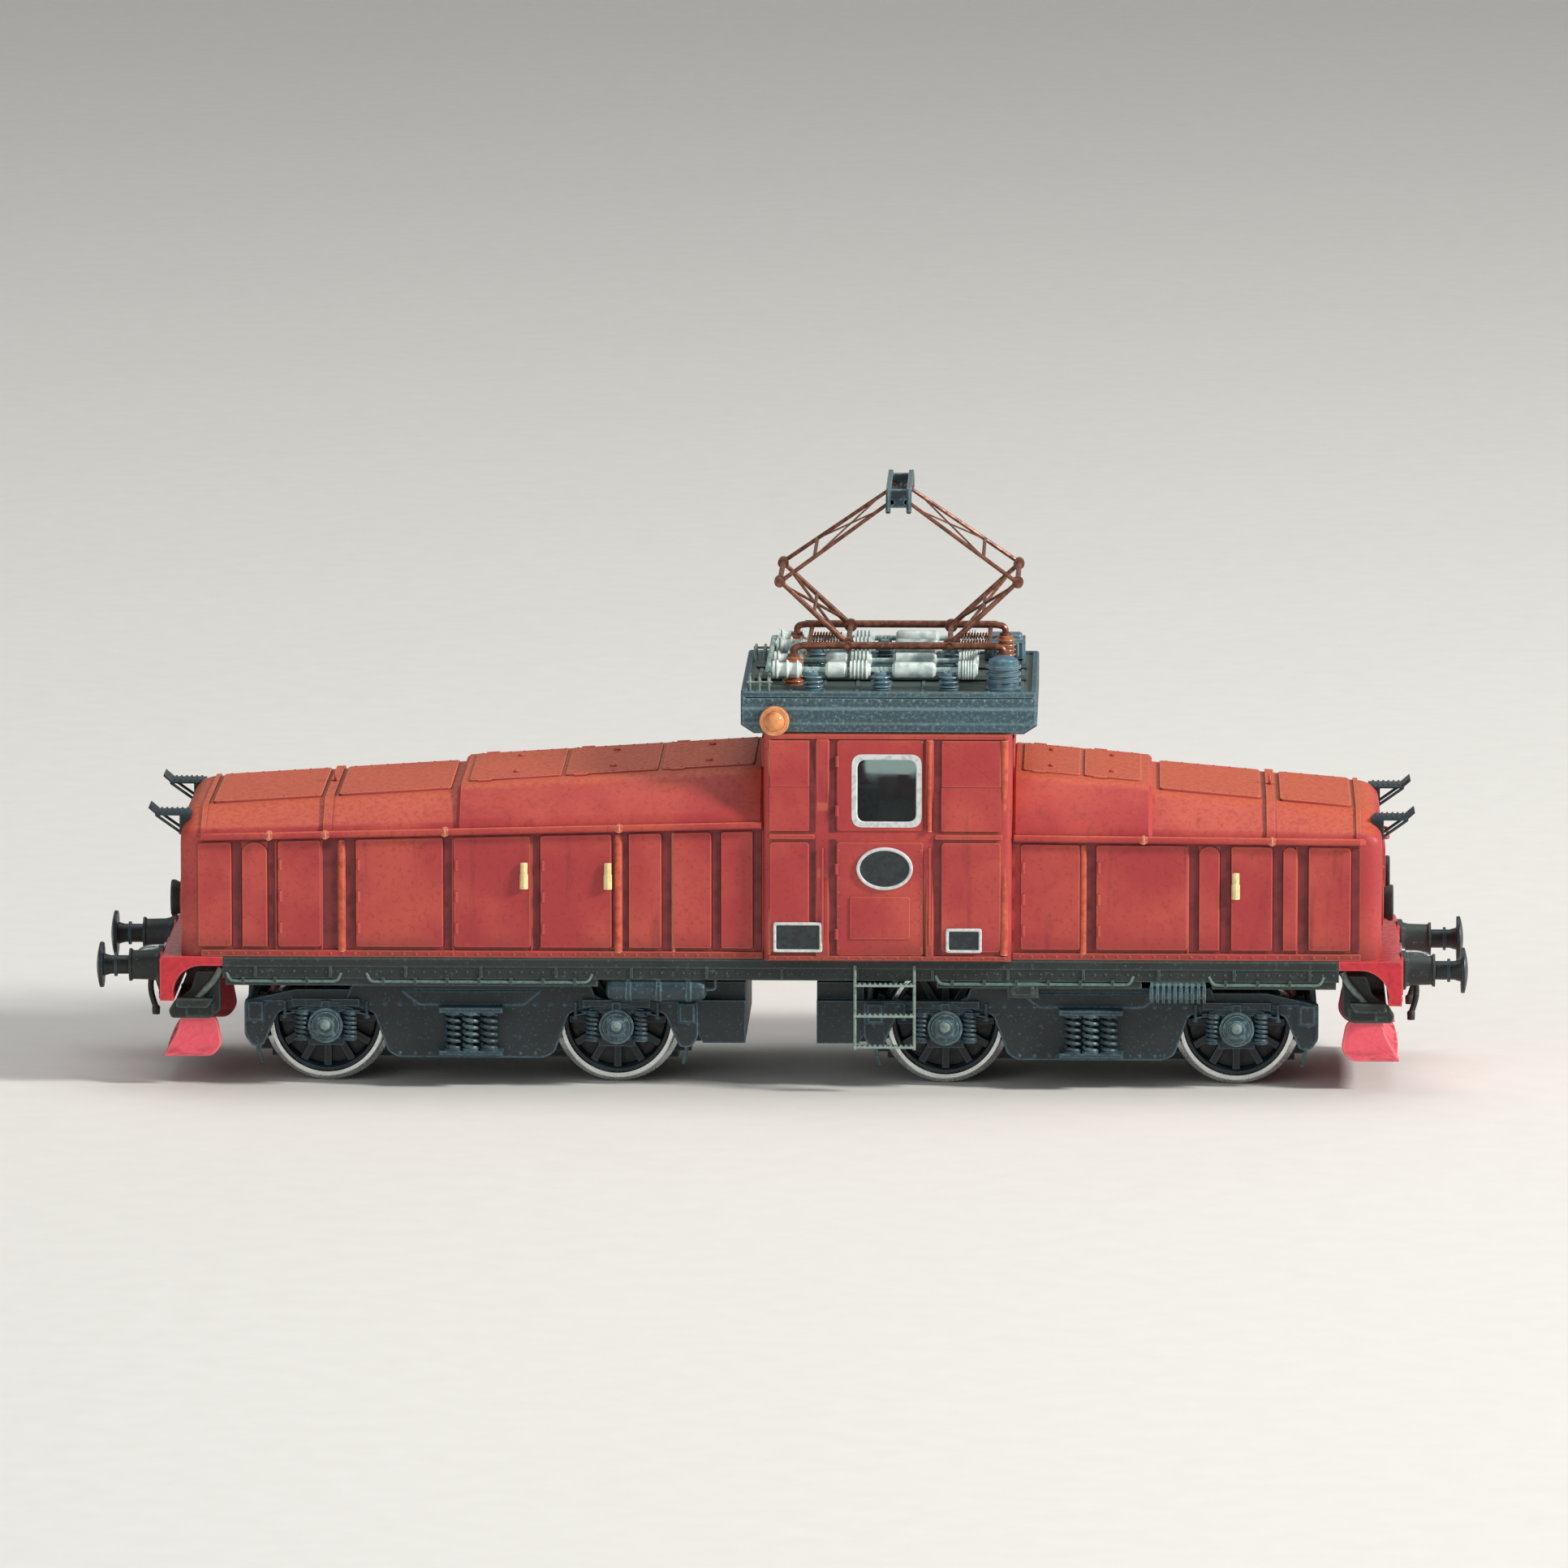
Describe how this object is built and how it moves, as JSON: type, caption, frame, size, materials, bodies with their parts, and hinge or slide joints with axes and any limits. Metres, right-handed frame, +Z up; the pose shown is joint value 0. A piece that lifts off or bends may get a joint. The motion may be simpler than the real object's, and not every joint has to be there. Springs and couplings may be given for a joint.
{
  "type": "model electric locomotive",
  "caption": "Centre-cab model electric locomotive with two powered bogies, sloping hoods, a diamond pantograph and sprung buffers.",
  "frame": {"origin": "on the ground under the middle of the locomotive, at the tips of the wheel flanges", "axes": "+X along the track towards the short hood, +Y across the track, +Z up"},
  "size_m": [0.1462, 0.034, 0.0641],
  "materials": {
    "frame_black": "matt black-grey moulding",
    "beam_red": "satin red",
    "plough_red": "matt faded red",
    "hood_red": "satin red-brown",
    "hatch_orange": "satin orange-brown",
    "roof_grey": "matt blue-grey",
    "underframe_black": "matt black",
    "cast_weight": "as-cast zinc",
    "steel_wheel": "bright tread, blackened centre",
    "steel": "bright steel",
    "brass": "plain brass",
    "bronze": "copper-brown paint",
    "gear_plastic": "natural acetal",
    "clear": "clear moulding",
    "silver": "silver print",
    "ivory": "ivory",
    "rail_grey": "satin grey-green",
    "board_green": "lacquered board",
    "porcelain": "glazed brown",
    "tube_rubber": "flexible tube",
    "interior": "matt grey-green"
  },
  "bodies": {
    "locomotive_body": {"running_plate": "frame_black", "body_screws": "steel", "buffer_beams": "beam_red", "buffer_housings": "frame_black", "coupling_hooks": "frame_black", "snow_ploughs": "plough_red", "cab_ladders": "rail_grey", "air_reservoirs": "underframe_black", "chassis_block": "cast_weight", "motor": "steel", "long_hood": "hood_red", "short_hood": "hood_red", "hood_hatches": "hatch_orange", "cab_shell": "hood_red", "cab_glazing": "clear", "window_frames": "silver", "cab_roof": "roof_grey", "cab_interior": "interior", "number_plates": "silver", "door_handles": "ivory", "hood_handrails": "hood_red", "end_footboards": "frame_black", "headlights": "frame_black", "headlight_lenses": "clear", "marker_lamps": "brass", "circuit_board": "board_green", "roof_insulators": "porcelain", "roof_conductors": "bronze", "main_breaker": "roof_grey", "pantograph_base": "bronze"},
    "motor_rotor": {"rotor_shaft": "steel", "flywheels": "brass", "drive_couplings": "tube_rubber"},
    "front_bogie": {"front_bogie_frame": "underframe_black", "front_keeper_plate": "underframe_black", "front_pickups": "bronze"},
    "front_worm_body": {"front_worm": "brass"},
    "front_centre_gear_body": {"front_centre_gear": "gear_plastic"},
    "front_idler_1_body": {"front_idler_1": "gear_plastic"},
    "front_idler_2_body": {"front_idler_2": "gear_plastic"},
    "rear_bogie": {"rear_bogie_frame": "underframe_black", "rear_keeper_plate": "underframe_black", "rear_pickups": "bronze"},
    "rear_worm_body": {"rear_worm": "brass"},
    "rear_centre_gear_body": {"rear_centre_gear": "gear_plastic"},
    "rear_idler_1_body": {"rear_idler_1": "gear_plastic"},
    "rear_idler_2_body": {"rear_idler_2": "gear_plastic"},
    "wheelset_1_body": {"wheelset_1": "steel_wheel"},
    "wheelset_2_body": {"wheelset_2": "steel_wheel"},
    "wheelset_3_body": {"wheelset_3": "steel_wheel"},
    "wheelset_4_body": {"wheelset_4": "steel_wheel"},
    "buffer_front_left_body": {"buffer_front_left": "steel"},
    "buffer_front_right_body": {"buffer_front_right": "steel"},
    "front_lower_arm_body": {"front_lower_arm": "bronze"},
    "front_upper_arm_body": {"front_upper_arm": "bronze"},
    "buffer_rear_left_body": {"buffer_rear_left": "steel"},
    "buffer_rear_right_body": {"buffer_rear_right": "steel"},
    "rear_lower_arm_body": {"rear_lower_arm": "bronze"},
    "rear_upper_arm_body": {"rear_upper_arm": "bronze"},
    "pantograph_head_body": {"pantograph_head": "bronze"}
  },
  "joints": [
    {"name": "motor_spin", "type": "hinge", "parent": "locomotive_body", "child": "motor_rotor", "pos_m": [0, 0, 0.0188], "axis": [1, 0, 0], "continuous": true},
    {"name": "front_bogie_swivel", "type": "hinge", "parent": "locomotive_body", "child": "front_bogie", "pos_m": [-0.033, 0, 0.024], "axis": [0, 0, 1], "range_deg": [-4, 4], "deforming": ["drive_couplings"]},
    {"name": "front_worm_spin", "type": "hinge", "parent": "front_bogie", "child": "front_worm_body", "pos_m": [-0.033, 0, 0.0188], "axis": [1, 0, 0], "continuous": true},
    {"name": "front_centre_gear_spin", "type": "hinge", "parent": "front_bogie", "child": "front_centre_gear_body", "pos_m": [-0.033, 0, 0.012], "axis": [0, 1, 0], "continuous": true},
    {"name": "front_idler_1_spin", "type": "hinge", "parent": "front_bogie", "child": "front_idler_1_body", "pos_m": [-0.04094, 0, 0.00812], "axis": [0, 1, 0], "continuous": true},
    {"name": "wheelset_1_spin", "type": "hinge", "parent": "front_bogie", "child": "wheelset_1_body", "pos_m": [-0.0485, 0, 0.007], "axis": [0, 1, 0], "continuous": true},
    {"name": "front_idler_2_spin", "type": "hinge", "parent": "front_bogie", "child": "front_idler_2_body", "pos_m": [-0.02506, 0, 0.00812], "axis": [0, 1, 0], "continuous": true},
    {"name": "wheelset_2_spin", "type": "hinge", "parent": "front_bogie", "child": "wheelset_2_body", "pos_m": [-0.0175, 0, 0.007], "axis": [0, 1, 0], "continuous": true},
    {"name": "rear_bogie_swivel", "type": "hinge", "parent": "locomotive_body", "child": "rear_bogie", "pos_m": [0.033, 0, 0.024], "axis": [0, 0, 1], "range_deg": [-4, 4], "deforming": ["drive_couplings"]},
    {"name": "rear_worm_spin", "type": "hinge", "parent": "rear_bogie", "child": "rear_worm_body", "pos_m": [0.033, 0, 0.0188], "axis": [1, 0, 0], "continuous": true},
    {"name": "rear_centre_gear_spin", "type": "hinge", "parent": "rear_bogie", "child": "rear_centre_gear_body", "pos_m": [0.033, 0, 0.012], "axis": [0, 1, 0], "continuous": true},
    {"name": "rear_idler_1_spin", "type": "hinge", "parent": "rear_bogie", "child": "rear_idler_1_body", "pos_m": [0.02506, 0, 0.00812], "axis": [0, 1, 0], "continuous": true},
    {"name": "wheelset_3_spin", "type": "hinge", "parent": "rear_bogie", "child": "wheelset_3_body", "pos_m": [0.0175, 0, 0.007], "axis": [0, 1, 0], "continuous": true},
    {"name": "rear_idler_2_spin", "type": "hinge", "parent": "rear_bogie", "child": "rear_idler_2_body", "pos_m": [0.04094, 0, 0.00812], "axis": [0, 1, 0], "continuous": true},
    {"name": "wheelset_4_spin", "type": "hinge", "parent": "rear_bogie", "child": "wheelset_4_body", "pos_m": [0.0485, 0, 0.007], "axis": [0, 1, 0], "continuous": true},
    {"name": "buffer_front_left_press", "type": "slide", "parent": "locomotive_body", "child": "buffer_front_left_body", "axis": [1, 0, 0], "range_m": [0, 0.0012], "stiffness_N_per_m": 100, "springref_m": -0.001},
    {"name": "buffer_front_right_press", "type": "slide", "parent": "locomotive_body", "child": "buffer_front_right_body", "axis": [1, 0, 0], "range_m": [0, 0.0012], "stiffness_N_per_m": 100, "springref_m": -0.001},
    {"name": "buffer_rear_left_press", "type": "slide", "parent": "locomotive_body", "child": "buffer_rear_left_body", "axis": [-1, 0, 0], "range_m": [0, 0.0012], "stiffness_N_per_m": 100, "springref_m": -0.001},
    {"name": "buffer_rear_right_press", "type": "slide", "parent": "locomotive_body", "child": "buffer_rear_right_body", "axis": [-1, 0, 0], "range_m": [0, 0.0012], "stiffness_N_per_m": 100, "springref_m": -0.001},
    {"name": "pantograph_raise", "type": "hinge", "parent": "locomotive_body", "child": "front_lower_arm_body", "pos_m": [0.007, 0, 0.0472], "axis": [0, 1, 0], "range_deg": [-38, 0], "stiffness_Nm_per_rad": 0.0005, "springref_deg": 57.3},
    {"name": "rear_lower_arm_turn", "type": "hinge", "parent": "locomotive_body", "child": "rear_lower_arm_body", "pos_m": [0.0178, 0, 0.0472], "axis": [0, 1, 0], "range_deg": [-0.5, 39]},
    {"name": "front_upper_arm_turn", "type": "hinge", "parent": "front_lower_arm_body", "child": "front_upper_arm_body", "pos_m": [-0.00026, 0, 0.05397], "axis": [0, 1, 0], "range_deg": [-0.5, 70]},
    {"name": "rear_upper_arm_turn", "type": "hinge", "parent": "rear_lower_arm_body", "child": "rear_upper_arm_body", "pos_m": [0.02506, 0, 0.05397], "axis": [0, 1, 0], "range_deg": [-70, 0.5]},
    {"name": "pantograph_head_level", "type": "hinge", "parent": "front_upper_arm_body", "child": "pantograph_head_body", "pos_m": [0.0116, 0, 0.0624], "axis": [0, 1, 0], "range_deg": [-32, 0.5]}
  ],
  "couplings": [
    {"joint": "front_worm_spin", "follows": "motor_spin", "ratio": 1},
    {"joint": "front_centre_gear_spin", "follows": "motor_spin", "ratio": -0.041667},
    {"joint": "front_idler_1_spin", "follows": "motor_spin", "ratio": 0.05},
    {"joint": "wheelset_1_spin", "follows": "motor_spin", "ratio": -0.055556},
    {"joint": "front_idler_2_spin", "follows": "motor_spin", "ratio": 0.05},
    {"joint": "wheelset_2_spin", "follows": "motor_spin", "ratio": -0.055556},
    {"joint": "rear_worm_spin", "follows": "motor_spin", "ratio": 1},
    {"joint": "rear_centre_gear_spin", "follows": "motor_spin", "ratio": -0.041667},
    {"joint": "rear_idler_1_spin", "follows": "motor_spin", "ratio": 0.05},
    {"joint": "wheelset_3_spin", "follows": "motor_spin", "ratio": -0.055556},
    {"joint": "rear_idler_2_spin", "follows": "motor_spin", "ratio": 0.05},
    {"joint": "wheelset_4_spin", "follows": "motor_spin", "ratio": -0.055556},
    {"joint": "rear_lower_arm_turn", "follows": "pantograph_raise", "ratio": -1},
    {"joint": "front_upper_arm_turn", "follows": "pantograph_raise", "ratio": -1.7869},
    {"joint": "rear_upper_arm_turn", "follows": "pantograph_raise", "ratio": 1.7869},
    {"joint": "pantograph_head_level", "follows": "pantograph_raise", "ratio": 0.78693}
  ]
}
